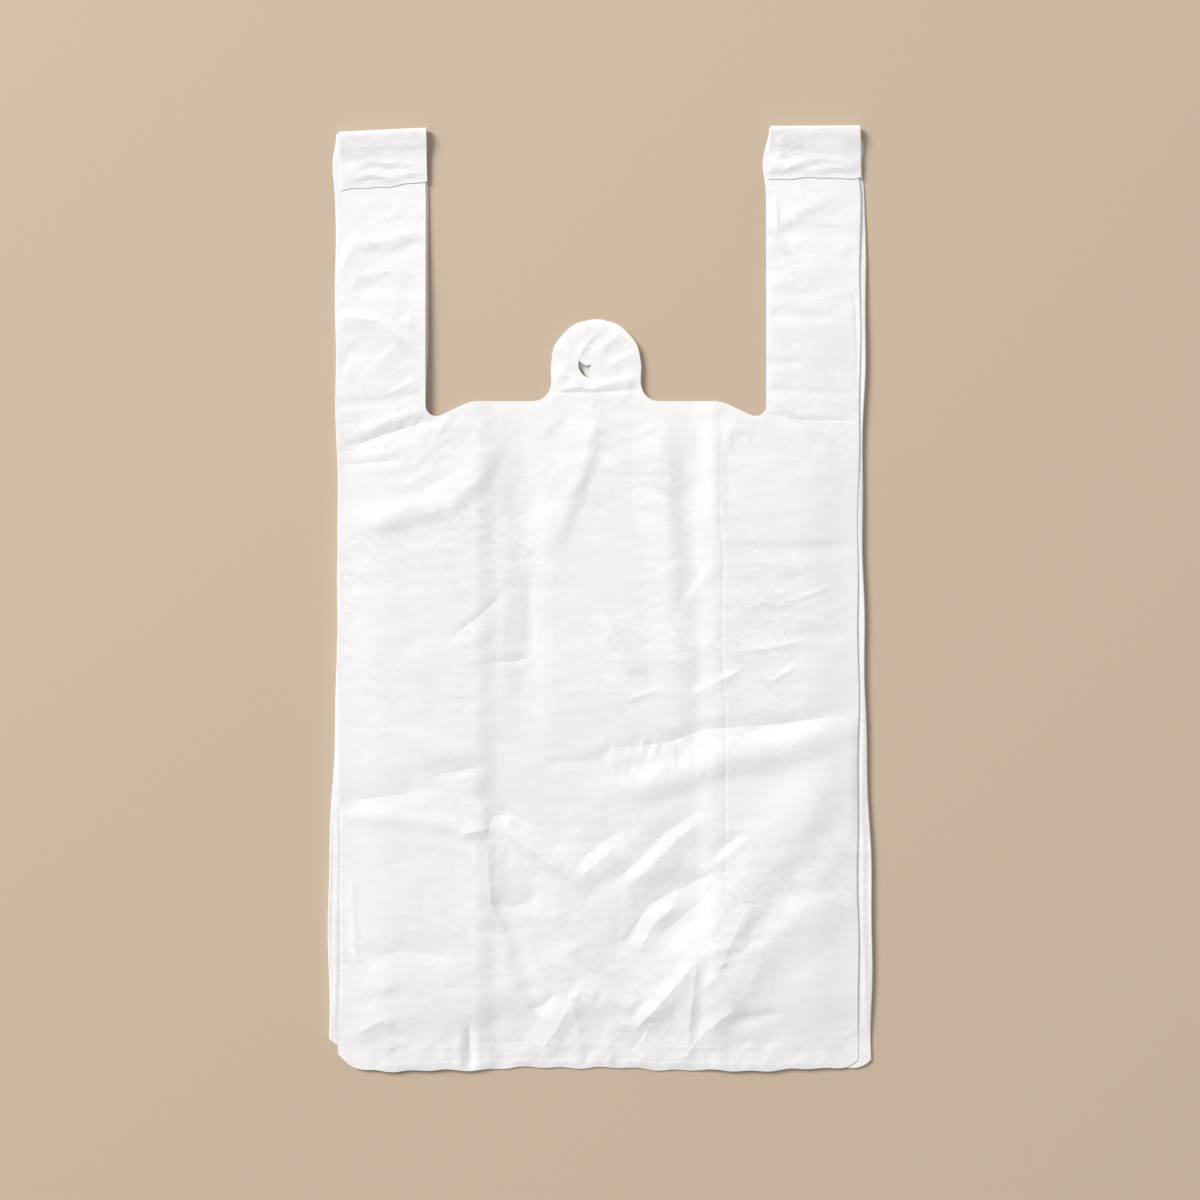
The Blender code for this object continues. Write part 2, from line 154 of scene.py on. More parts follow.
def slit_points(eye_width):
    """The slit as one closed loop. Its angles are in degrees."""
    angles = np.linspace(SLIT_START, SLIT_END, SLIT_COUNT)
    opening = np.clip(1 - np.abs(angles - EYE_ANGLE) / EYE_REACH, 0, 1) ** EYE_BLUNTNESS
    inner = SLIT_RADIUS - SLIT_WIDTH - eye_width * opening
    outer = arc(SLIT_CENTRE, SLIT_RADIUS, angles[0], angles[-1], len(angles))
    tongue = [(SLIT_CENTRE[0] + r * math.cos(a), SLIT_CENTRE[1] + r * math.sin(a))
              for r, a in zip(inner, np.radians(angles))]
    return outer + tongue[::-1]


SLIT = slit_points(EYE_WIDTH)
print("the slit is", round(2 * SLIT_RADIUS * 1000, 1), "mm across")

# %% [markdown]
# ## Round the tube
#
# To mesh the film as one sheet, it is unrolled. A station u counts the way round the tube
# from the middle of the front, over the front fold, into the gusset, out again, and across the
# back. A small table of stations says which x and which ply each one belongs to. The folds
# are half circles, so the film turns and doesn't break.

# %% Stations from the front's middle to the back's
FOLD_STEPS = 6


def tube_section():
    """Way round the tube, x and ply of each station. Ply 3 is the front and ply 0 the back."""
    turn = [(math.sin(a), (1 - math.cos(a)) / 2) for a in np.linspace(0, math.pi, FOLD_STEPS + 1)]
    points = [(0.0, 3.0)]
    for centre, way, level in ((FOLD_CENTRE, 1, 3), (INNER_CENTRE, -1, 2), (FOLD_CENTRE, 1, 1)):
        points += [(centre + way * FOLD_RADIUS * out, level - drop) for out, drop in turn]
    points.append((0.0, 0.0))
    x, level = np.array(points).T
    steps = np.hypot(np.diff(x), np.diff(level) * PLY_STEP)
    return np.concatenate([[0], np.cumsum(steps)]), x, level


RUN, RUN_X, RUN_LEVEL = tube_section()
HALF_RUN = RUN[-1]
FLATS = [(n * (FOLD_STEPS + 1), n * (FOLD_STEPS + 1) + 1) for n in range(4)]
FOLDS = [range(n * (FOLD_STEPS + 1) + 1, (n + 1) * (FOLD_STEPS + 1) + 1) for n in range(3)]


def fold_tube(u):
    """The x and the ply of a place on the unrolled film."""
    x = np.interp(np.abs(u), RUN, RUN_X) * np.sign(u)
    return x, np.interp(np.abs(u), RUN, RUN_LEVEL)


def cut_height(x):
    """How far up the knife leaves the film standing."""
    mouth_x, mouth_y = np.array(MOUTH).T
    return np.where(np.abs(x) > HANDLE_EDGE, CUT_LENGTH, np.interp(np.abs(x), mouth_x, mouth_y))


print("the film is", round(2 * HALF_RUN * 1000), "mm round")

# %% [markdown]
# ## Where the handles turn over
#
# Both handle ends are folded down onto the front. The bend is a half circle whose radius
# depends on the ply: the back ply runs round the outside. The flaps are a little shorter than
# in the construction model. The left one is folded askew, as in the picture.

# %% The bend's place
FLAP_CLEARANCE = 0.0006
BEND_CENTRE = FILM + 3 * TIGHT_STEP + FLAP_CLEARANCE / 2
BEND_LENGTH = math.pi * (BEND_CENTRE - FILM / 2 - 1.5 * TIGHT_STEP)
# length and tilt of the left and the right flap
FLAPS = {-1: (0.0280, 0.045), 1: (0.0258, 0.006)}


def fold_line(side, x):
    """The height on the film at which a handle starts to bend."""
    flap, tilt = FLAPS[side]
    middle = CUT_LENGTH - flap - BEND_LENGTH
    return middle + tilt * side * (np.abs(x) - (HALF_WIDTH - HANDLE_WIDTH / 2))


print("each bend takes up", round(BEND_LENGTH * 1000, 1), "mm of film")

# %% [markdown]
# ## Folds
#
# Thin film doesn't bend in even waves. It stays flat in facets and gives way along narrow lines.
# So a fold here has a path, a reach to both sides and a height, which is negative for a valley.
# A sharp fold has straight flanks that meet in a ridge. A soft one is rounded. The lean makes
# one flank wider than the other, so that one side is a gentle slope and the other a step.

# %% A fold along a path
RIDGE_POWER = 1.15
END_SHARE, END_SLOPE = 0.3, 4
FAR = 9.0


def add_fold(lift, x, y, path, reach, height, lean=0.0, sharp=True):
    """Raise the points near a path in mm. Lean widens the flank on the right hand of the path."""
    path = np.array(path) / 1000
    wide = reach / 1000 * (1 + abs(lean))
    near = np.nonzero((x > path[:, 0].min() - wide) & (x < path[:, 0].max() + wide)
                      & (y > path[:, 1].min() - wide) & (y < path[:, 1].max() + wide))[0]
    lengths = np.hypot(*np.diff(path, axis=0).T)
    best, along, start = np.full(len(near), FAR), np.zeros(len(near)), 0.0
    for a, b, length in zip(path, path[1:], lengths):
        dx, dy = (b - a) / length
        px, py = x[near] - a[0], y[near] - a[1]
        step = np.clip(px * dx + py * dy, 0, length)
        flank = np.where(px * dy > py * dx, 1 + lean, 1 - lean) * reach / 1000
        away = np.hypot(px - step * dx, py - step * dy) / flank
        along = np.where(away < best, (start + step) / lengths.sum(), along)
        best = np.minimum(best, away)
        start += length
    across = np.clip(1 - best, 0, 1)
    profile = across ** RIDGE_POWER if sharp else smooth(across, 0, 1)
    ends = np.clip(END_SLOPE * np.minimum(along, 1 - along) + END_SHARE, 0, 1)
    lift[near] += height / 1000 * profile * ends


print("a fold has a path, a reach, a height and a lean")

# %% [markdown]
# ## The folds that make the picture
#
# A soft valley and ridge run down the middle, the slack gathers in a flattened V above the
# bottom, and lines of pull run out from the roots of the handles. They are placed in
# millimetres on the front, from the middle of its lower edge.

# %% Folds placed one by one
FOLDS_BY_EYE = [
    # shoulder of the left handle
    ([(-138, 331), (-114, 339), (-89, 347)], 7, -1.2, 0.3, True),
    ([(-139, 323), (-104, 326)], 4, -0.6, 0.0, True),
    ([(-132, 291), (-112, 293), (-89, 298), (-78, 301), (-63, 316), (-53, 336)], 11, 1.5, -0.2, False),
    ([(-127, 341), (-108, 348), (-91, 354)], 5, 0.8, 0.2, False),
    # middle of the body
    ([(-41, 344), (-40, 315), (-37, 277), (-36, 224), (-39, 175)], 15, -1.5, 0.0, False),
    ([(-36, 264), (-35, 221)], 5, -0.5, 0.0, False),
    ([(-77, 232), (-64, 241), (-48, 256)], 4, -0.5, 0.2, True),
    ([(-56, 218), (-45, 218), (-36, 220)], 4, -0.6, -0.2, True),
    ([(-2, 348), (-5, 328), (-14, 304), (-22, 283)], 14, 1.3, 0.4, False),
    ([(36, 353), (35, 330), (37, 301), (42, 279), (43, 232), (45, 203), (41, 178)], 16, 1.5, 0.15, False),
    ([(47, 323), (48, 288), (48, 260), (45, 229)], 10, -0.8, 0.0, False),
    ([(62, 342), (64, 293)], 8, 0.7, 0.0, False),
    ([(70, 344), (71, 331)], 4, 0.5, 0.0, False),
    # right side
    ([(72, 279), (91, 278), (110, 278), (137, 280)], 7, -0.8, 0.2, False),
    ([(82, 247), (89, 250), (98, 248), (125, 258)], 2.5, 0.35, 0.0, True),
    ([(71, 223), (92, 225), (113, 230)], 2.5, 0.3, 0.0, True),
    ([(93, 207), (107, 216)], 2.5, 0.35, 0.0, True),
    ([(51, 200), (68, 209), (78, 214)], 5, 0.7, 0.3, True),
    ([(47, 248), (56, 261), (63, 271)], 6, 0.55, 0.4, False),
    ([(16, 198), (24, 200), (33, 203), (44, 200)], 3, 0.45, 0.0, True),
    # level band below the middle
    ([(6, 148), (23, 151), (43, 157), (67, 166), (99, 171), (133, 182)], 13, 2.2, 0.0, False),
    ([(2, 166), (8, 172), (23, 173), (39, 175), (58, 182), (99, 185), (139, 191)], 7, -1.1, 0.0, True),
    ([(-28, 163), (2, 166)], 5, -0.5, 0.0, False),
    # left arm of the v
    ([(-138, 144), (-122, 145), (-106, 147), (-90, 150)], 12.8, -1.26, -0.4, True),
    ([(-137, 136), (-101, 134), (-76, 131), (-62, 126)], 7, 0.9, 0.0, False),
    ([(-103, 178), (-84, 172), (-63, 166)], 10, 0.8, 0.0, False),
    ([(-88, 157), (-73, 160), (-61, 162)], 6.4, -0.8, -0.2, True),
    ([(-71, 151), (-49, 139), (-28, 128), (-10, 111)], 14.4, -1.72, -0.2, True),
    ([(-66, 143), (-52, 131), (-33, 116), (-11, 101)], 8, 2.3, -0.3, True),
    ([(-72, 126), (-57, 129)], 5.6, 1.03, 0.0, True),
    ([(-57, 129), (-55, 136), (-46, 136)], 6.4, -1.03, 0.0, True),
    # right arm of the v
    ([(-10, 111), (5, 123), (15, 127)], 12.8, -1.38, 0.0, True),
    ([(-10, 102), (2, 112), (10, 119)], 8, 1.03, 0.3, True),
    ([(9, 100), (23, 112), (37, 127), (55, 138)], 8, -0.8, -0.3, True),
    ([(14, 97), (28, 107), (43, 123), (56, 133)], 9, 0.95, 0.3, True),
    ([(62, 113), (69, 120), (77, 126)], 5, -0.6, -0.2, True),
    ([(64, 110), (79, 123)], 4, 0.6, 0.3, False),
    # slack above the weld, left
    ([(-58, 123), (-57, 105), (-56, 89), (-49, 73), (-42, 61)], 14.4, 1.84, 0.3, True),
    ([(-52, 87), (-41, 62), (-33, 35)], 9, -1.2, 0.0, False),
    ([(-56, 88), (-44, 87), (-30, 92)], 8, -1.03, 0.0, True),
    ([(-36, 31), (-28, 34), (-21, 41)], 8, -1.15, 0.0, True),
    ([(-133, 103), (-132, 57)], 4, 0.5, 0.0, False),
    ([(-131, 57), (-116, 61), (-101, 64), (-72, 61)], 9.6, -0.92, -0.3, True),
    ([(-132, 19), (-116, 27), (-107, 24)], 7.2, 1.03, 0.0, True),
    ([(-131, 35), (-117, 39), (-102, 42)], 6, -0.6, 0.0, False),
    ([(-68, 25), (-67, -1)], 4.8, -1.38, 0.0, True),
    # the line above the weld, and the weld
    ([(-138, 12), (-70, 12.5), (10, 12), (80, 12.4), (138, 12)], 2, 0.15, 0.0, True),
    ([(-128, 5), (-60, 5.5), (10, 5), (70, 5.4), (130, 5)], 1.6, -0.12, 0.0, True),
    # slack above the weld, middle
    ([(-30, 9), (-22, 19), (-13, 35)], 9.6, 1.38, -0.2, True),
    ([(-13, 35), (-9, 41), (2, 40)], 6.4, 0.92, 0.0, True),
    ([(-13, 35), (-9, 22), (-10, 17)], 6.4, 0.92, 0.0, True),
    ([(2, 40), (12, 35), (21, 31)], 8, 1.15, 0.0, True),
    ([(20, 20), (38, 40), (54, 60)], 8, 1.6, 0.2, True),
    ([(-9, 39), (5, 30), (20, 20)], 7, 1.3, 0.2, True),
    ([(54, 60), (51, 34), (49, 10)], 7, 1.2, 0.3, True),
    ([(15, 67), (29, 89), (52, 100), (65, 107)], 12.8, -1.61, 0.0, True),
    ([(32, 70), (55, 89), (67, 104)], 11.2, -1.38, 0.2, True),
    ([(23, 63), (30, 77), (43, 88)], 9.6, 1.26, 0.2, True),
    # slack above the weld, right
    ([(137, 171), (110, 138), (82, 105), (58, 68), (36, 34)], 34, 2.5, -0.3, False),
    ([(132, 140), (112, 112), (95, 88)], 14, -1.0, 0.0, False),
    ([(71, 92), (104, 93), (138, 97)], 8, -0.69, 0.0, True),
    ([(58, 65), (72, 66), (86, 64)], 6.4, 0.8, 0.0, True),
    ([(56, 44), (64, 50), (76, 35)], 6.4, 1.03, 0.0, True),
    ([(64, 50), (74, 73), (81, 87)], 8, 0.92, 0.0, True),
    ([(69, 35), (86, 62), (109, 81), (134, 93)], 18, 1.8, 0.2, False),
    ([(47, 6), (58, 21), (76, 35)], 8, 1.26, 0.2, True),
    ([(70, 26), (84, 28), (99, 31)], 5, -0.7, 0.0, False),
    # handles
    ([(-139, 403), (-117, 400), (-98, 387)], 6, 1.3, 0.2, True),
    ([(-136, 356), (-115, 357), (-94, 361)], 4, -0.7, 0.0, True),
    ([(-137, 424), (-131, 442), (-115, 443), (-95, 447)], 6, 0.9, 0.2, False),
    ([(-110, 419), (-100, 404), (-98, 396)], 6, 0.8, 0.2, True),
    ([(-137, 412), (-129, 405)], 4, 0.8, 0.0, True),
    ([(95, 446), (112, 449), (132, 446)], 6, -0.8, 0.0, False),
    ([(99, 452), (112, 461), (136, 475)], 6, 0.5, 0.0, False),
    ([(93, 405), (118, 401)], 5, -0.5, 0.0, False),
    ([(91, 377), (109, 378)], 4, -0.5, 0.0, True),
    ([(91, 364), (139, 361)], 4, -0.5, 0.3, True),
    ([(94, 359), (112, 347)], 4, 0.6, 0.0, True),
    ([(89, 351), (109, 347), (139, 347)], 4, -0.6, 0.3, True),
    ([(137, 414), (139, 363)], 1.6, -0.4, 0.0, True),
    ([(96, 475), (97, 447)], 1.6, 0.3, 0.0, True),
    # hanging tab
    ([(0, 394), (-6, 387), (-9, 380)], 3, 0.5, 0.0, True),
    ([(-22, 373), (-13, 370), (-7, 363)], 5, 0.7, 0.2, True),
    ([(-3, 362), (5, 366), (23, 370)], 5, 0.6, 0.2, True),
    ([(5, 387), (13, 394)], 4, 0.5, 0.0, True),
    ([(7, 376), (22, 384)], 4, 0.5, 0.3, True),
    ([(-21, 386), (-13, 382)], 4, 0.5, 0.0, True),
    ([(-4, 398), (0, 387)], 4, -0.4, 0.0, True),
    ([(-20, 362), (-12, 365), (2, 363)], 4, 0.5, 0.0, True),
    # lines that run with the film
    ([(66, 336), (66, 296), (68, 274), (67, 232), (69, 192), (69, 89)], 1.6, -0.2, 0.0, True),
    ([(-23, 362), (0, 362), (23, 364)], 2.5, -0.5, 0.0, True),
]
print(len(FOLDS_BY_EYE), "folds placed by eye,", sum(fold[-1] for fold in FOLDS_BY_EYE), "of them sharp")

# %% [markdown]
# ## Crumple
#
# Crumpled film is a net of small flat facets. So a second sheet is made of random points at
# random heights, joined by triangles, and each point of the film takes the height of the facet
# above it. Stretched cells give wrinkles, even cells give a crushed look. Each zone of the bag has
# its own cell size, height and direction, and fades out at its border. In the crisp zones, the
# edges of the facets are also given to the film's mesh, so that their creases stay sharp.

# %% A sheet of random facets
SHAKE, BORDER, LINE_BORDER = 0.42, 0.35, 0.95


class Facets:
    """Random facets over a box in mm, turned by an angle."""

    def __init__(self, low, high, cell, height, turn, seed):
        random = np.random.default_rng(seed)
        self.centre, self.half = (np.array(low) + high) / 2, (np.array(high) - low) / 2
        self.height = height / 1000
        c, s = math.cos(math.radians(turn)), math.sin(math.radians(turn))
        self.turned = np.array([[c, s], [-s, c]])
        reach = math.hypot(*self.half) + 2 * max(cell)
        columns, rows = (np.arange(-reach / size, reach / size) for size in cell)
        grid = np.stack(np.meshgrid(columns, rows), axis=-1).reshape(-1, 2)
        grid = grid + random.uniform(-SHAKE, SHAKE, grid.shape)
        made = delaunay_2d_cdt([Vector(point) for point in grid], [], [], 0, 1e-6)
        self.corners = np.array([(a * cell[0], b * cell[1]) for a, b in made[0]])
        self.edges = made[1]
        heights = random.uniform(-1, 1, len(made[0]))
        self.tree = BVHTree.FromPolygons([(a, b, h) for (a, b), h in zip(self.corners, heights)], made[2])

    def add(self, lift, x, y):
        """Add the facets' heights to the points in the box, fading out towards its sides."""
        away = np.stack([x, y], axis=1) * 1000 - self.centre
        inside = 1 - np.abs(away / self.half).max(axis=1)
        near = np.nonzero(inside > 0)[0]
        down = Vector((0, 0, -1))
        hits = [self.tree.ray_cast(Vector((a, b, 5)), down)[0] for a, b in away[near] @ self.turned.T]
        values = np.array([hit.z if hit else 0.0 for hit in hits])
        lift[near] += self.height * values * smooth(inside[near], 0, BORDER)

    def lines(self):
        """The facets' edges within the box, in metres on the film."""
        places = self.corners @ self.turned + self.centre
        inside = np.abs((places - self.centre) / self.half).max(axis=1) < LINE_BORDER
        return [(places[a] / 1000, places[b] / 1000) for a, b in self.edges if inside[a] and inside[b]]


print("a facet's corner is shaken by up to", SHAKE, "of a cell")

# %% Zones of crumple
ZONES = [
    # low corner, high corner, cell, height, turn in degrees
    ((-150, 2), (150, 370), (9, 3.2), 0.10, 0),
    ((-150, 2), (150, 370), (24, 9), 0.26, 2),
    ((-150, 2), (150, 370), (48, 40), 0.9, 20),
    ((-92, 258), (-51, 304), (7, 2.4), 0.22, 3),
    ((-76, 182), (-54, 242), (6, 2.2), 0.24, 4),
    ((20, 224), (47, 288), (6, 2.6), 0.18, 5),
    ((-4, 314), (38, 350), (7, 3.0), 0.20, 12),
    ((-120, 305), (-52, 354), (8, 4.0), 0.26, 35),
    ((-32, 296), (4, 354), (9, 3.5), 0.28, 65),
    ((-140, 165), (-84, 275), (17, 5.0), 0.24, 4),
    ((70, 200), (140, 280), (15, 4.5), 0.20, 10),
    ((-4, 154), (64, 180), (8, 3.2), 0.42, 80),
    ((-80, 10), (100, 130), (5.5, 4.0), 0.14, 25),
    ((64, 32), (92, 98), (6, 4.0), 0.36, 20),
    ((-64, 98), (22, 142), (6, 4.0), 0.24, -30),
    ((-150, -8), (150, 17), (12, 4.4), 0.38, 80),
    ((-150, -6), (150, 20), (13, 7.0), 0.45, 35),
    ((-112, 330), (-74, 358), (7, 3.0), 0.38, 50),
    ((50, 334), (94, 360), (7, 3.0), 0.36, 105),
    ((-146, 340), (-86, 486), (4.5, 3.0), 0.10, 12),
    ((86, 340), (146, 486), (17, 6.5), 0.26, 5),
    ((-30, 352), (30, 410), (7, 5.0), 0.30, 50),
]
CRISP_ZONES = [
    ((-84, 4), (104, 134), (17, 13), 0.65, 32),
    ((-142, 8), (-66, 70), (17, 9), 0.45, 8),
    ((-139, 345), (-92, 480), (13, 8), 0.55, 12),
    ((-118, 306), (-50, 352), (13, 8), 0.35, 35),
]
FACETS = [Facets(*zone, seed) for seed, zone in enumerate(ZONES + CRISP_ZONES)]
print(len(FACETS), "zones of crumple with", sum(len(one.corners) for one in FACETS), "facet corners")

# %% [markdown]
# ## One unrolled sheet of triangles
#
# The unrolled film is triangulated in one go with a constrained Delaunay triangulation. It
# takes loose points, which are set close together where the film is seen, and lines that must
# become edges: the punched outline, the slits and the folds. The outline comes first. It is the
# mouth four times over on each side, once for each ply, and the straight cut at the bottom.

# %% Outline of the unrolled film
FINE, COARSE, OUTLINE_STEP = 0.00154, 0.0052, 0.0016
LINE_GAP, CUT_GAP = 0.001, 0.0008
FLAP_ZONE = 0.036
FLAP_START = CUT_LENGTH - FLAP_ZONE


def dense(points, step):
    """The same line with more points, none further apart than step."""
    made = [points[0]]
    for a, b in zip(points, points[1:]):
        count = max(1, math.ceil(math.dist(a, b) / step))
        made += [(a[0] + (b[0] - a[0]) * n / count, a[1] + (b[1] - a[1]) * n / count)
                 for n in range(1, count + 1)]
    return made


def handle_heights():
    return list(np.arange(BODY_LENGTH + LINE_GAP, CUT_LENGTH - CUT_GAP, FINE)) + [CUT_LENGTH]


def top_outline():
    """The top edge from the front's middle to the back's, ply after ply."""
    outline = []
    for start, end in FLATS:
        low, high = sorted((RUN_X[start], RUN_X[end]))
        inside = [(x, y) for x, y in MOUTH if low < x <= high]
        inside += [(HANDLE_EDGE, y) for y in handle_heights()]
        if RUN_X[end] < RUN_X[start]:
            inside.reverse()
        outline.append((RUN[start], float(cut_height(RUN_X[start]))))
        outline += [(RUN[start] + abs(x - RUN_X[start]), y) for x, y in inside]
        outline.append((RUN[end], float(cut_height(RUN_X[end]))))
    return outline


half = top_outline()
outline = [(-u, y) for u, y in reversed(half)] + half[1:]
outline = dense(outline, OUTLINE_STEP) + dense([(HALF_RUN, 0), (-HALF_RUN, 0)], OUTLINE_STEP)
rear_slit = [(-HALF_RUN - x, y) for x, y in slit_points(REAR_EYE_WIDTH)]
print("the cut edge has", len(outline), "points")

# %% [markdown]
# ### In or out
#
# A point is inside a loop if a ray from it crosses the loop an odd number of times. The same
# count leaves out the slits, because a point in a slit lies inside two loops.

# %% Points inside the outline
def inside_loops(points, loops):
    hits = np.zeros(len(points), int)
    x, y = points.T
    for loop in loops:
        start = np.array(loop)
        end = np.roll(start, -1, axis=0)
        for (ax, ay), (bx, by) in zip(start, end):
            if ay == by:
                continue
            near = np.nonzero((y < max(ay, by)) & (y >= min(ay, by)))[0]
            hits[near] += x[near] < ax + (y[near] - ay) / (by - ay) * (bx - ax)
    return hits % 2 == 1


trial = np.array([(0, BODY_LENGTH / 2), (0, CUT_LENGTH)])
print("inside the film:", inside_loops(trial, [outline]).tolist(), "for the body and between the handles")

# %% [markdown]
# ### Loose points
#
# The front, the flaps and the strips that stand out at the sides get a fine grid, and the
# hidden plies a coarse one. The rows are staggered and a little shaken, so that no straight rows
# of triangles show in the gloss. The bends are left free for lines of their own.

# %% A staggered grid
LOOSE_SHAKE, ROW_SHARE = 0.18, 0.87
CUT_SHARE, SIDE_SHARE = 0.5, 0.4
BEND_GAP = 0.0003
STRIP_WIDTH, STRIP_STEP = 0.009, 0.0015


def scattered(u_low, u_high, y_low, y_high, step, random):
    """Loose points in a staggered, slightly shaken grid within a box on the unrolled film."""
    columns = np.arange(u_low, u_high, step)
    rows = np.arange(y_low, y_high, step * ROW_SHARE)
    u, y = np.meshgrid(columns, rows)
    u = u + (np.arange(len(rows)) % 2)[:, None] * step / 2
    u = u + random.uniform(-LOOSE_SHAKE, LOOSE_SHAKE, u.shape) * step
    y = y + random.uniform(-LOOSE_SHAKE, LOOSE_SHAKE, y.shape) * step
    x = fold_tube(u)[0]
    inside = (y < cut_height(x) - CUT_SHARE * FINE) & (y > SIDE_SHARE * FINE) & (y > y_low) & (y < y_high)
    inside &= (u > u_low + SIDE_SHARE * FINE) & (u < u_high - SIDE_SHARE * FINE)
    past = y - np.where(x < 0, fold_line(-1, x), fold_line(1, x))
    inside &= (past < -BEND_GAP) | (past > BEND_LENGTH + BEND_GAP) | (np.abs(x) < HANDLE_EDGE)
    return np.stack([u[inside], y[inside]], axis=1)


def loose_points(random):
    loose = [scattered(-RUN[1], RUN[1], 0, CUT_LENGTH, FINE, random)]
    for side in (-1, 1):
        for start, end in FLATS[1:]:
            low, high = sorted((side * RUN[start], side * RUN[end]))
            loose.append(scattered(low, high, 0, FLAP_START, COARSE, random))
            loose.append(scattered(low, high, FLAP_START, CUT_LENGTH, FINE, random))
            if start == FLATS[2][0]:
                low, high = sorted((side * RUN[end], side * (RUN[end] - STRIP_WIDTH)))
                loose.append(scattered(low, high, 0, FLAP_START, STRIP_STEP, random))
    return np.concatenate(loose)


loose = loose_points(np.random.default_rng(3))
print(len(loose), "loose points")

# %% [markdown]
# ### Lines round the bends
#
# Four plies go round each bend, one inside the other, with little room between them. They stay
# apart only if they bend at the same places, so every ply gets the same lines across the bend.

# %% Lines that the plies of a bend share
BEND_STEPS, BEND_COLUMN, TURN_GAP = 10, 0.0012, 0.0004


def bend_rows(side):
    front, back = [RUN[FLATS[n][0]] + abs(HANDLE_EDGE - RUN_X[FLATS[n][0]]) for n in (1, 3)]
    inner = RUN[FLATS[2][0]] + abs(HANDLE_EDGE - RUN_X[FLATS[2][0]])
    rows = []
    for low, high in ((HANDLE_EDGE, front), (inner, back)):
        u = np.arange(low + BEND_COLUMN, high - CUT_GAP, BEND_COLUMN)
        turns = RUN[(RUN > low) & (RUN < high)]
        u = u[np.abs(u[:, None] - turns[None, :]).min(axis=1) > TURN_GAP]
        u = np.sort(np.concatenate([[low], u, turns, [high]]))
        for share in np.linspace(0, 1, BEND_STEPS + 1):
            heights = [float(fold_line(side, fold_tube(a)[0]) + share * BEND_LENGTH) for a in u]
            rows.append([(side * a, y) for a, y in zip(u, heights)])
    return rows


rows_round_bends = bend_rows(-1) + bend_rows(1)
print(len(rows_round_bends), "lines across the two bends")

# %% [markdown]
# ### Lines along folds and creases
#
# A ridge that runs across triangles looks like a saw. So each sharp fold is a line of edges, a
# narrow one has a line on each flank too, and the crisp zones lend the film their facets' edges.

# %% Lines that must become edges
NARROW_REACH = 3


class Lines:
    """Points and edges that the triangulation keeps."""

    def __init__(self):
        self.points, self.edges = [], []

    def add(self, new, closed=False):
        first = len(self.points)
        self.points.extend((float(a), float(b)) for a, b in new)
        self.edges.extend((n, n + 1) for n in range(first, len(self.points) - 1))
        if closed:
            self.edges.append((len(self.points) - 1, first))

    def add_tube_folds(self):
        for n, fold in enumerate(FOLDS):
            for station in fold:
                top = float(cut_height(RUN_X[station]))
                step = FINE if n == 0 or top > BODY_LENGTH else COARSE
                heights = np.arange(2 * LINE_GAP, top - LINE_GAP, step)
                for side in (-1, 1):
                    self.add([(side * RUN[station], y) for y in heights])

    def add_sharp_fold(self, path, reach):
        path = np.array(path) / 1000
        self.add(dense(path.tolist(), FINE))
        if reach < NARROW_REACH:
            across = (path[-1] - path[0])[::-1] * (-1, 1) / math.dist(path[0], path[-1]) * reach / 1000
            self.add(dense((path + across).tolist(), FINE))
            self.add(dense((path - across).tolist(), FINE))

    def add_facet_edge(self, a, b):
        within = max(abs(a[0]), abs(b[0])) < HALF_WIDTH - 2 * LINE_GAP and min(a[1], b[1]) > LINE_GAP
        if within and a[1] < cut_height(a[0]) - LINE_GAP and b[1] < cut_height(b[0]) - LINE_GAP:
            self.add(dense([tuple(a), tuple(b)], FINE))


lines = Lines()
for loop in (outline, SLIT, rear_slit):
    lines.add(loop, closed=True)
lines.add_tube_folds()
for row in rows_round_bends:
    lines.add(row)
for path, reach, height, lean, sharp in FOLDS_BY_EYE:
    if sharp:
        lines.add_sharp_fold(path, reach)
for one in FACETS[len(ZONES):]:
    for a, b in one.lines():
        lines.add_facet_edge(a, b)
print(len(lines.edges), "edges are given")

# %% [markdown]
# ### One triangulation
#
# Lines and loose points go in together. Triangles outside the outline or inside a slit are
# dropped afterwards.

# %% Triangles of the unrolled film
made = delaunay_2d_cdt(lines.points + list(map(tuple, loose)), lines.edges, [], 0, 1e-7)
film_points = np.array([tuple(p) for p in made[0]])
film_faces = np.array(made[2])
middles = film_points[film_faces].mean(axis=1)
film_faces = film_faces[inside_loops(middles, [outline, SLIT, rear_slit])]
print("the film has", len(film_points), "points and", len(film_faces), "triangles")

# %% [markdown]
# ## The lift of the front ply
#
# The large folds and the crumple add up to one height for each point of the front. It fades
# out at the weld, and before the handles bend over. A soft floor keeps the front from sinking
# through the plies under it.

# %% Lift of the front
FRONT_LOFT, LIFT_SHARE = 0.0009, 0.66
CREASE_LINE = 0.014
LOFT_REACH = 0.4 * GUSSET_DEPTH
LOFT_TOP = (0.87 * BODY_LENGTH, BODY_LENGTH)
WELD_FADE = (-0.002, 0.004)
BEND_FADE = (FLAP_START - 0.040, FLAP_START - 0.020)
EDGE_REACH, EDGE_SHARE = 0.004, 0.25
TIGHT_TOP = (0.94 * BODY_LENGTH, BODY_LENGTH)
SLACK_FLOOR, TIGHT_RISE, FLOOR_SLOPE = -0.0011, 0.0008, 0.08


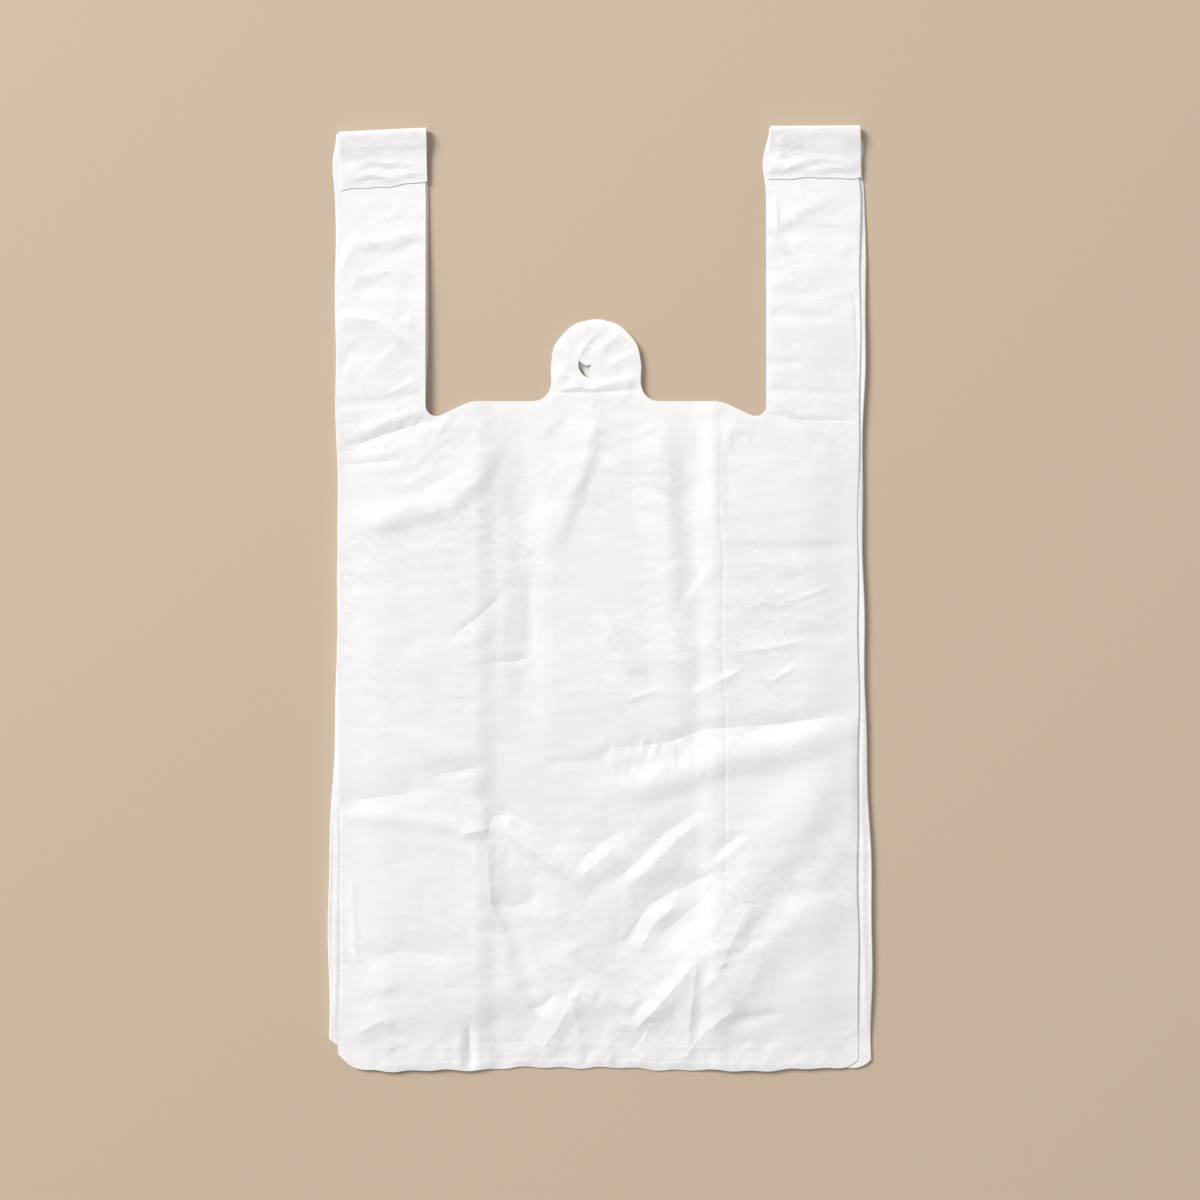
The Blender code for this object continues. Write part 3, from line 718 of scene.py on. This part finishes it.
def front_lift(x, y):
    lift = FRONT_LOFT * smooth(HALF_WIDTH - np.abs(x), 0, LOFT_REACH)
    lift = lift * (1 - smooth(y, *LOFT_TOP))
    for fold in FOLDS_BY_EYE:
        add_fold(lift, x, y, *fold)
    for one in FACETS:
        one.add(lift, x, y)
    lift = LIFT_SHARE * lift
    lift = lift * smooth(y, *WELD_FADE) * (1 - smooth(y, *BEND_FADE))
    lift = lift * (EDGE_SHARE + (1 - EDGE_SHARE) * smooth(HALF_WIDTH - np.abs(x), 0, EDGE_REACH))
    tight = smooth(y, *TIGHT_TOP) + 1 - smooth(y, 0, CREASE_LINE)
    least = SLACK_FLOOR + TIGHT_RISE * np.clip(tight, 0, 1)
    return np.where(lift > least, lift, least + FLOOR_SLOPE * (lift - least))


front = np.nonzero((np.abs(film_points[:, 0]) <= RUN[1]))[0]
front_heights = np.zeros(len(film_points))
front_heights[front] = front_lift(film_points[front, 0], film_points[front, 1])
print("the front rises and falls by", round(float(np.ptp(front_heights)) * 1000, 1), "mm")

# %% [markdown]
# ## Folds of the flaps
#
# A turned-over flap shows the back ply, so it has folds of its own, which lift that ply only.
# Their paths count from the middle of the bag and from the end of the bend.

# %% Lift of the flaps
FLAP_FOLDS = [
    ([(-140, 7), (-115, 7.5), (-91, 7)], 2.6, 0.45, 0.6, True),
    ([(-138, 12), (-122, 9), (-104, 12), (-92, 15)], 5, 0.7, 0.3, False),
    ([(-136, 20), (-124, 15), (-108, 16), (-93, 19)], 5, 0.9, 0.4, False),
    ([(-139, 26), (-124, 22), (-108, 24), (-91, 23)], 4.5, 1.1, 0.4, False),
    ([(-138, 29), (-120, 27), (-106, 26)], 3, 0.6, 0.2, False),
    ([(91, 25), (104, 19), (120, 15), (139, 17)], 6, 1.2, 0.4, False),
    ([(110, 25), (124, 21), (140, 20)], 4.5, 1.0, 0.4, False),
    ([(93, 8), (110, 9), (134, 8)], 4, 0.6, 0.3, False),
    ([(92, 20), (98, 11), (97, 2)], 5, 0.6, 0.0, False),
    ([(96, 13), (118, 11), (136, 12)], 4, 0.7, 0.3, False),
]
FLAP_ZONES = [
    ((-142, -4), (-88, 36), (12, 4), 0.40, 8, 40),
    ((88, -4), (142, 36), (12, 4), 0.40, 12, 41),
]
FLAP_FACETS = [Facets(*zone) for zone in FLAP_ZONES]
FLAP_LIFT_SHARE, FLAP_FLOOR = 0.55, -0.0001
HEM_FADE = (0.0003, 0.006)


def flap_lift(x, y, flat, level):
    """The lift of a flap's top ply, which is the back turned over. Flat is the way past the bend."""
    lift = np.zeros_like(x)
    top = np.nonzero((level < 0.5) & (flat > 0))[0]
    top_lift = np.zeros(len(top))
    for fold in FLAP_FOLDS:
        add_fold(top_lift, x[top], flat[top], *fold)
    for one in FLAP_FACETS:
        one.add(top_lift, x[top], flat[top])
    top_lift = np.maximum(top_lift, FLAP_FLOOR) * smooth(CUT_LENGTH - y[top], *HEM_FADE)
    lift[top] = FLAP_LIFT_SHARE * top_lift * (1 - 2 * level[top])
    return lift


print(len(FLAP_FOLDS), "folds on the two flaps")

# %% [markdown]
# ## Turning the handles over
#
# Past its fold line, each ply runs round a half circle about the bend's centre, and then lies
# flat on the front. Loose film is pressed together where it lies flat, so the plies of a flap
# are squeezed. The bend also pinches the handle a little, and a flap's cut end isn't straight.

# %% The two flaps
# pinch at the bend, further narrowing towards the end, and drift sideways
FLAP_SHAPES = {-1: (0.03, 0.02, 0.03), 1: (0.07, -0.03, -0.01)}
FLAP_SINK, SINK_START, LIFT_START = -0.00045, 0.004, 0.003
FLAP_SQUEEZE = 0.80
PINCH_ZONE = (-0.012, 0.001)
HEM_WAVE, HEM_RATES, HEM_RIPPLE = 0.0004, (170, 410), 0.6


def turn_over(x, y, x_out, y_out, z, level):
    for side in (-1, 1):
        flap = FLAPS[side][0]
        pinch, narrowing, drift = FLAP_SHAPES[side]
        handle = (x * side > 0) & (np.abs(x) > HANDLE_EDGE - 1e-6)
        past = np.where(handle, np.maximum(y - fold_line(side, x), 0), 0)
        turn = math.pi * np.minimum(past / BEND_LENGTH, 1)
        flat = np.maximum(past - BEND_LENGTH, 0)
        radius = (BEND_CENTRE - z) * (1 - FLAP_SQUEEZE * smooth(flat, 0, 0.5 * flap))
        middle = side * (HALF_WIDTH - HANDLE_WIDTH / 2)
        pinch = pinch * smooth(y - fold_line(side, x), *PINCH_ZONE) + narrowing * smooth(past, 0, flap)
        x_out = x_out + drift * flat - np.where(handle, pinch, 0) * (x - middle)
        wave = np.sin(HEM_RATES[0] * x + side) + HEM_RIPPLE * np.sin(HEM_RATES[1] * x)
        y_out = y_out + HEM_WAVE * smooth(flat, 0, flap) * wave
        y_out = y_out - past - flat + np.where(past > 0, radius * np.sin(turn), 0)
        lift = flap_lift(x, y, flat, level)
        rise = FLAP_SINK * smooth(flat, SINK_START, flap) + lift * smooth(flat, 0, LIFT_START)
        z = np.where(past > 0, BEND_CENTRE - radius * np.cos(turn) + rise, z)
    return np.stack([x_out, y_out, z], axis=-1)


print("the flaps are", [round(flap * 1000, 1) for flap, tilt in FLAPS.values()], "mm long")

# %% [markdown]
# ## Laying the film
#
# The film lies as in the construction model: plies in a stack, the rear folds standing out at
# the sides, the corners rounded by the pull of the weld. It departs from it where the picture
# asks for that. The plies close up at the long edges. The left edge is drawn in, the front's
# most of all. The rear plies stand out a little more on the left and less at the right handle.
# Three functions give the three directions: up, sideways and along.

# %% Up: ply on ply
BODY_START = 0.0085
HANDLE_FADE = (BODY_LENGTH + 0.03, CUT_LENGTH - 0.048)
EDGE_LEVELS = (0.0, 2.05, 2.3, 2.5)
CLOSING_REACH, SINK_SHARE = 0.03, 0.8
MISSING_PLIES, BRIDGED_PLIES = 2, 1.1
SIDE_STRIP = (HALF_WIDTH - 0.010, HALF_WIDTH - 0.004)
STRIP_LEVELS, STRIP_SLOPE = 1.6, 2
SIDE_WAVE, SIDE_RATE, SWAY, SWAY_RATE, SIDE_SLANT = 0.0002, 1100, 3, 19, 9


def stack(y, away, level, lifts):
    """Heights. Two gusset plies are missing in the middle, so the front sinks, and bridges some."""
    body = smooth(y, BODY_START, 3 * CREASE_LINE)
    below_bend = 1 - smooth(y, *HANDLE_FADE)
    loft = body * below_bend
    step = TIGHT_STEP + (PLY_STEP - TIGHT_STEP) * loft
    sink = (MISSING_PLIES - BRIDGED_PLIES * body) * step
    sink = sink * (1 - smooth(away, SINK_SHARE * INNER_CENTRE, INNER_CENTRE))
    z = FILM / 2 + level * step - level / 3 * sink + np.clip(level - 2, 0, 1) * lifts
    closed = below_bend * smooth(away, HALF_WIDTH - CLOSING_REACH, HALF_WIDTH)
    z = z + closed * step * (np.interp(level, (0, 1, 2, 3), EDGE_LEVELS) - level)
    strip = np.clip(STRIP_LEVELS - STRIP_SLOPE * np.abs(level - 1), 0, 1) * smooth(away, *SIDE_STRIP)
    ripple = np.sin(SIDE_RATE * away + SWAY * np.sin(SWAY_RATE * y) + SIDE_SLANT * y)
    return z + strip * SIDE_WAVE * ripple * loft


print("the plies lie", PLY_STEP * 1000, "mm apart, and", TIGHT_STEP * 1000, "mm where they are tight")

# %% Sideways: what stands out at the long edges
RIGHT_STAND_OUT, LEFT_STAND_OUT, HANDLE_FLARE = 0.0078, 0.0050, 0.0015
RIGHT_LOSS, RIGHT_FADE = 0.62, (0.15 * BODY_LENGTH, 0.80 * BODY_LENGTH)
TOP_LOSS, TOP_FADE = 0.5, (0.490, 0.503)
LEFT_FADE = (0.22 * BODY_LENGTH, 0.72 * BODY_LENGTH)
LEFT_START = (0.45 * CREASE_LINE, 0.85 * CREASE_LINE)
FLARE_ZONE = (0.85 * BODY_LENGTH, 1.17 * BODY_LENGTH)
WOBBLE, WOBBLE_RATES, WOBBLE_REACH, WOBBLE_FADE = 0.0003, (97, 41), 0.02, (0.03, 0.06)
PEEK, BULGE, BULGE_PLACE, BULGE_REACH = 0.0012, -0.0018, 0.484, 0.009
INSET, LOW_INSET, LOW_INSET_FADE, INSET_REACH = 0.0020, 0.0016, (0.05, 0.2), 0.04


def spread(x, y, away, level):
    side = np.where(x < 0, -1.0, 1.0)
    rear = np.clip(2 - level, 0, 1) * smooth(away, INNER_CENTRE, FOLD_CENTRE)
    right_out = RIGHT_STAND_OUT * (1 - RIGHT_LOSS * smooth(y, *RIGHT_FADE))
    right_out = right_out * (1 - TOP_LOSS * smooth(y, *TOP_FADE))
    left_out = LEFT_STAND_OUT * (1 - smooth(y, *LEFT_FADE)) * smooth(y, *LEFT_START)
    flare = HANDLE_FLARE * smooth(y, *FLARE_ZONE) * smooth(away, HANDLE_EDGE, HALF_WIDTH)
    wobble = WOBBLE * (np.sin(WOBBLE_RATES[0] * y + 2 * rear + side) + np.sin(WOBBLE_RATES[1] * y + 4 * rear))
    wobble = wobble * smooth(away, HALF_WIDTH - WOBBLE_REACH, HALF_WIDTH)
    wobble = wobble * smooth(CUT_LENGTH - y, *WOBBLE_FADE)
    on_handle = (away > HANDLE_EDGE - 1e-6) & (y > BODY_LENGTH)
    peek = PEEK * smooth(y, BODY_LENGTH, 1.1 * BODY_LENGTH) * np.clip(2 - level, 0, 1) * (side < 0)
    bulge = BULGE * np.exp(-((y - BULGE_PLACE) / BULGE_REACH) ** 2) * np.where(side < 0, 1 - level / 6, 1)
    out = rear * np.where(x < 0, -left_out, right_out)
    x_out = x + on_handle * (bulge + peek) + side * (flare + wobble) + out
    inset = INSET + LOW_INSET * (1 - smooth(y, *LOW_INSET_FADE)) * np.clip(level - 1, 0, 1)
    return x_out + inset * (x < 0) * smooth(away, HALF_WIDTH - INSET_REACH, HALF_WIDTH)


print("the rear plies stand out by", LEFT_STAND_OUT * 1000, "and", RIGHT_STAND_OUT * 1000, "mm")

# %% Along: the corners and the bottom edge
CORNER_REACH, LEFT_CORNER_RISE, RIGHT_CORNER_RISE = 0.018, 0.0075, 0.0045
EDGE_WAVE, WAVE_RATE, WAVE_START = 0.0008, 5.3, 2.2
SCALLOP, SCALLOP_RATES, SCALLOP_REACH = 0.0004, (310, 127), 0.012
TAB_ZONE, TAB_SIDE = (BODY_LENGTH + 0.004, BODY_LENGTH + 0.015), 0.03
TAB_WOBBLE, TAB_WAVE, TAB_RATE, TAB_SLANT, TAB_WAVE_RATE = 0.00018, 0.00012, 520, 60, 560


def along(x, y, away):
    corner = np.clip((away - HALF_WIDTH) / CORNER_REACH + 1, 0, 1) ** 3
    corner = corner * (1 - smooth(y, 0, 2 * CREASE_LINE))
    wave = EDGE_WAVE * np.sin(WAVE_RATE * x / HALF_WIDTH + WAVE_START) * (1 - smooth(y, 0, 6 * CREASE_LINE))
    scallops = np.sin(SCALLOP_RATES[0] * x + 1) + np.sin(SCALLOP_RATES[1] * x)
    wave = wave + SCALLOP * scallops * (1 - smooth(y, 0, SCALLOP_REACH))
    return y + np.where(x < 0, LEFT_CORNER_RISE, RIGHT_CORNER_RISE) * corner + wave


def lay(x, y, level, lifts):
    away = np.abs(x)
    tab = smooth(y, *TAB_ZONE) * (away < TAB_SIDE)
    x_out = spread(x, y, away, level) + TAB_WOBBLE * tab * np.sin(TAB_RATE * y + TAB_SLANT * x)
    y_out = along(x, y, away) + TAB_WAVE * tab * np.sin(TAB_WAVE_RATE * x + 1)
    return turn_over(x, y, x_out, y_out, stack(y, away, level, lifts), level)


print("the corners are drawn up by", LEFT_CORNER_RISE * 1000, "and", RIGHT_CORNER_RISE * 1000, "mm")

# %% The film laid on its place
film_x, film_level = fold_tube(film_points[:, 0])
laid = lay(film_x, film_points[:, 1], film_level, front_heights)
low, high = laid.min(axis=0), laid.max(axis=0)
laid[:, :2] += [(bag_low[n] + bag_high[n] - low[n] - high[n]) / 2 for n in (0, 1)]
laid[:, 2] += bag_low[2] + FILM / 2 - low[2]
print("laid, the film spans", [round(float(span) * 1000, 1) for span in high - low], "mm")

# %% [markdown]
# ## The film as a mesh
#
# The two edges of the unrolled sheet meet at the middle of the back, and are merged there.

# %% Mesh object
CRISP_ANGLE = 9


def film_object():
    """The film, with its creases sharp wherever two faces meet at more than a small angle."""
    mesh = bpy.data.meshes.new("carrier_bag_film")
    mesh.from_pydata(laid.tolist(), [], film_faces.tolist())
    work = bmesh.new()
    work.from_mesh(mesh)
    bmesh.ops.remove_doubles(work, verts=work.verts, dist=1e-6)
    bmesh.ops.recalc_face_normals(work, faces=work.faces)
    work.to_mesh(mesh)
    work.free()
    mesh.shade_smooth()
    mesh.set_sharp_from_angle(angle=math.radians(CRISP_ANGLE))
    piece = bpy.data.objects.new("carrier_bag_film", mesh)
    bpy.context.scene.collection.objects.link(piece)
    return piece


film = film_object()

# %% [markdown]
# ## Shader maths
#
# A material is easier to read as expressions. One small class wraps a socket, so that an
# expression on values adds its Math nodes. Colours and vectors are mixed by Mix and Vector
# Math nodes, because a Math node would turn a colour grey.

# %% Sockets that can be added and multiplied
class Shader:
    def __init__(self, name):
        self.material = bpy.data.materials.new(name)
        self.material.use_nodes = True
        self.tree = self.material.node_tree
        self.tree.nodes.clear()

    def node(self, kind, settings=None, **inputs):
        """Any node from its type, its settings and the values or links of its sockets."""
        made = self.tree.nodes.new(kind)
        for name, value in (settings or {}).items():
            setattr(made, name, value)
        for name, value in inputs.items():
            key = int(name[1:]) if name[1:].isdigit() else name.replace("_", " ")
            if isinstance(value, Value):
                self.tree.links.new(value.socket, made.inputs[key])
            else:
                made.inputs[key].default_value = value
        return made

    def value(self, kind, output=0, settings=None, **inputs):
        """The same, as a value that can be used in an expression."""
        return Value(self, self.node(kind, settings, **inputs).outputs[output])

    def vector(self, operation, **inputs):
        return self.value("ShaderNodeVectorMath", 0, {"operation": operation}, **inputs)

    def mix(self, share, a, b):
        mixed = self.node("ShaderNodeMix", {"data_type": "RGBA"}, i0=share, i6=a, i7=b)
        return Value(self, mixed.outputs[2])


class Value:
    def __init__(self, shader, socket):
        self.shader, self.socket = shader, socket

    def maths(self, operation, a, b=0.0, clamp=False):
        settings = {"operation": operation, "use_clamp": clamp}
        return self.shader.value("ShaderNodeMath", 0, settings, i0=a, i1=b)

    def __add__(self, other):
        return self.maths("ADD", self, other)

    def __sub__(self, other):
        return self.maths("SUBTRACT", self, other)

    def __rsub__(self, other):
        return self.maths("SUBTRACT", other, self)

    def __mul__(self, other):
        return self.maths("MULTIPLY", self, other)

    def __truediv__(self, other):
        return self.maths("DIVIDE", self, other)

    def clamped(self):
        return self.maths("ADD", self, 0.0, clamp=True)

    __radd__, __rmul__ = __add__, __mul__


print("values can now be added, subtracted, multiplied and divided")

# %% [markdown]
# ## The film's material
#
# The film is white, glossy, and so thin that light shines through it, which brightens the
# shadows between the plies. Its fine crumple is too small to model: every cell of a stretched
# cell pattern tilts the surface a little its own way, like a tiny flat facet, so the gloss
# breaks up into glints. A faint bump adds the softer wrinkles between them.

# %% Tilted facets
FACET_LAYERS = [
    # cells in a metre across and along the bag, and how far they tilt
    ((85, 150, 0), 0.06),
    ((190, 420, 0), 0.07),
    ((420, 850, 0), 0.04),
]
CELL_SHAKE = (2.2, 2.2, 0)


def tilted(shader, place, crush, facing):
    """The direction of the surface, tilted cell by cell. Crush says how much, from place to place."""
    for scale, tilt in FACET_LAYERS:
        level = shader.value("ShaderNodeMapping", "Vector", None, Vector=place, Scale=scale)
        shaken = shader.value("ShaderNodeTexNoise", "Color", None, Vector=level, Scale=0.6, Detail=2.0)
        level = shader.vector("MULTIPLY_ADD", i0=shaken, i1=CELL_SHAKE, i2=level)
        cell = shader.value("ShaderNodeTexVoronoi", "Color", None, Vector=level, Scale=1.0, Randomness=1.0)
        lean = shader.vector("SUBTRACT", i0=cell, i1=(0.5, 0.5, 0.5))
        lean = shader.vector("SCALE", i0=lean, i3=crush)
        facing = shader.vector("MULTIPLY_ADD", i0=lean, i1=(tilt, tilt, 0), i2=facing)
    return shader.vector("NORMALIZE", i0=facing)


print(len(FACET_LAYERS), "layers of facets in the gloss")

# %% Film material
SHADED_WHITE, BRIGHT_WHITE = (0.935, 0.915, 0.912, 1), (0.955, 0.938, 0.94, 1)
THROUGH_COLOUR, THROUGH_SHARE = (0.96, 0.945, 0.94, 1), 0.12
LEAST_ROUGHNESS, ROUGHNESS_RANGE = 0.16, 0.14
CRUSH_CONTRAST, CRUSH_LEVEL, LEAST_CRUSH = 7.0, 3.2, 0.15
SHADE_CONTRAST, SHADE_LEVEL = 1.6, 0.3
WRINKLES, WRINKLE_STRENGTH, WRINKLE_HEIGHT = (140, 420, 0), 0.13, 0.0005


def film_material():
    shader = Shader("white_film")
    place = shader.value("ShaderNodeTexCoord", "Object")
    broad = shader.value("ShaderNodeTexNoise", "Fac", None, Vector=place, Scale=26.0, Detail=2.0)
    patch = shader.value("ShaderNodeTexNoise", "Fac", None, Vector=place, Scale=17.0, Detail=3.0)
    crush = (patch * CRUSH_CONTRAST - CRUSH_LEVEL).clamped() * (1 - LEAST_CRUSH) + LEAST_CRUSH
    facing = tilted(shader, place, crush, shader.value("ShaderNodeNewGeometry", "Normal"))
    level = shader.value("ShaderNodeMapping", "Vector", None, Vector=place, Scale=WRINKLES)
    wrinkles = shader.value("ShaderNodeTexNoise", "Fac", None, Vector=level, Scale=1.0, Detail=3.0)
    bump = shader.value("ShaderNodeBump", 0, None, Height=wrinkles, Strength=WRINKLE_STRENGTH,
                        Distance=WRINKLE_HEIGHT, Normal=facing)
    colour = shader.mix((broad * SHADE_CONTRAST - SHADE_LEVEL).clamped(), SHADED_WHITE, BRIGHT_WHITE)
    surface = shader.node("ShaderNodeBsdfPrincipled", None, Base_Color=colour, Normal=bump, IOR=1.5,
                          Roughness=LEAST_ROUGHNESS + ROUGHNESS_RANGE * broad)
    through = shader.node("ShaderNodeBsdfTranslucent", None, Color=THROUGH_COLOUR)
    both = shader.node("ShaderNodeMixShader", None, i0=THROUGH_SHARE)
    shader.tree.links.new(surface.outputs[0], both.inputs[1])
    shader.tree.links.new(through.outputs[0], both.inputs[2])
    output = shader.node("ShaderNodeOutputMaterial")
    shader.tree.links.new(both.outputs[0], output.inputs[0])
    return shader.material


film.data.materials.append(film_material())
print("the film's material has", len(film.data.materials[0].node_tree.nodes), "nodes")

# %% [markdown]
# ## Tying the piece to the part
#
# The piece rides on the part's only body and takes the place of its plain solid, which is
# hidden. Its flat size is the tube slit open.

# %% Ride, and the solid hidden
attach(film, "root")
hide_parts("carrier_bag")
print("flat area", round(0.864 * CUT_LENGTH, 3), "square metres with its cut-outs")

# %% [markdown]
# ## Floor, light and camera
#
# A plain pale floor, one wide soft lamp from the upper left, as in the picture, and a weak small
# one nearly overhead for the gloss. The wide lamp is large and not very high, so folds shade
# softly and gloss shows as long streaks. The camera looks straight down.

# %% Floor
FLOOR_COLOUR, FLOOR_ROUGHNESS, FLOOR_REACH = (0.56, 0.438, 0.322, 1), 0.8, 3


def floor_object():
    shader = Shader("pale_floor")
    surface = shader.node("ShaderNodeBsdfPrincipled", None, Base_Color=FLOOR_COLOUR,
                          Roughness=FLOOR_ROUGHNESS)
    output = shader.node("ShaderNodeOutputMaterial")
    shader.tree.links.new(surface.outputs[0], output.inputs[0])
    mesh = bpy.data.meshes.new("floor")
    corners = [(FLOOR_REACH * x, FLOOR_REACH * y, 0) for x, y in ((-1, -1), (1, -1), (1, 1), (-1, 1))]
    mesh.from_pydata(corners, [], [(0, 1, 2, 3)])
    mesh.materials.append(shader.material)
    floor = bpy.data.objects.new("floor", mesh)
    bpy.context.scene.collection.objects.link(floor)
    return floor


floor_object()
print("the floor is", 2 * FLOOR_REACH, "metres wide")

# %% Lamps and sky
LAMPS = [
    # name, place, size, power
    ("wide_lamp", (-6.0, 5.0, 5.1), 4.3, 1010),
    ("gloss_lamp", (0.04, 0.82, 2.0), 0.9, 3.2),
]
SKY_STRENGTH = 0.39


def lamp(name, place, size, power):
    """A round lamp that looks at the middle of the bag."""
    light = bpy.data.lights.new(name, "AREA")
    light.shape, light.size, light.energy = "DISK", size, power
    stand = bpy.data.objects.new(name, light)
    stand.location = place
    stand.rotation_euler = (-Vector(place)).to_track_quat("-Z", "Y").to_euler()
    bpy.context.scene.collection.objects.link(stand)


for one in LAMPS:
    lamp(*one)
world = bpy.data.worlds.new("soft_sky")
world.use_nodes = True
background = world.node_tree.nodes["Background"]
background.inputs[0].default_value = (1.0, 1.0, 1.0, 1)
background.inputs[1].default_value = SKY_STRENGTH
bpy.context.scene.world = world
print(len(LAMPS), "lamps under an even sky")

# %% Camera
CAMERA_PLACE = (-0.0001, -0.0004, 0.8935)

view = bpy.data.cameras.new("camera")
view.lens, view.sensor_width = 50, 36
camera = bpy.data.objects.new("camera", view)
camera.location = CAMERA_PLACE
bpy.context.scene.collection.objects.link(camera)
bpy.context.scene.camera = camera
bpy.context.scene.view_settings.view_transform = "Standard"
print("the camera stands", CAMERA_PLACE[2], "metres above the floor")
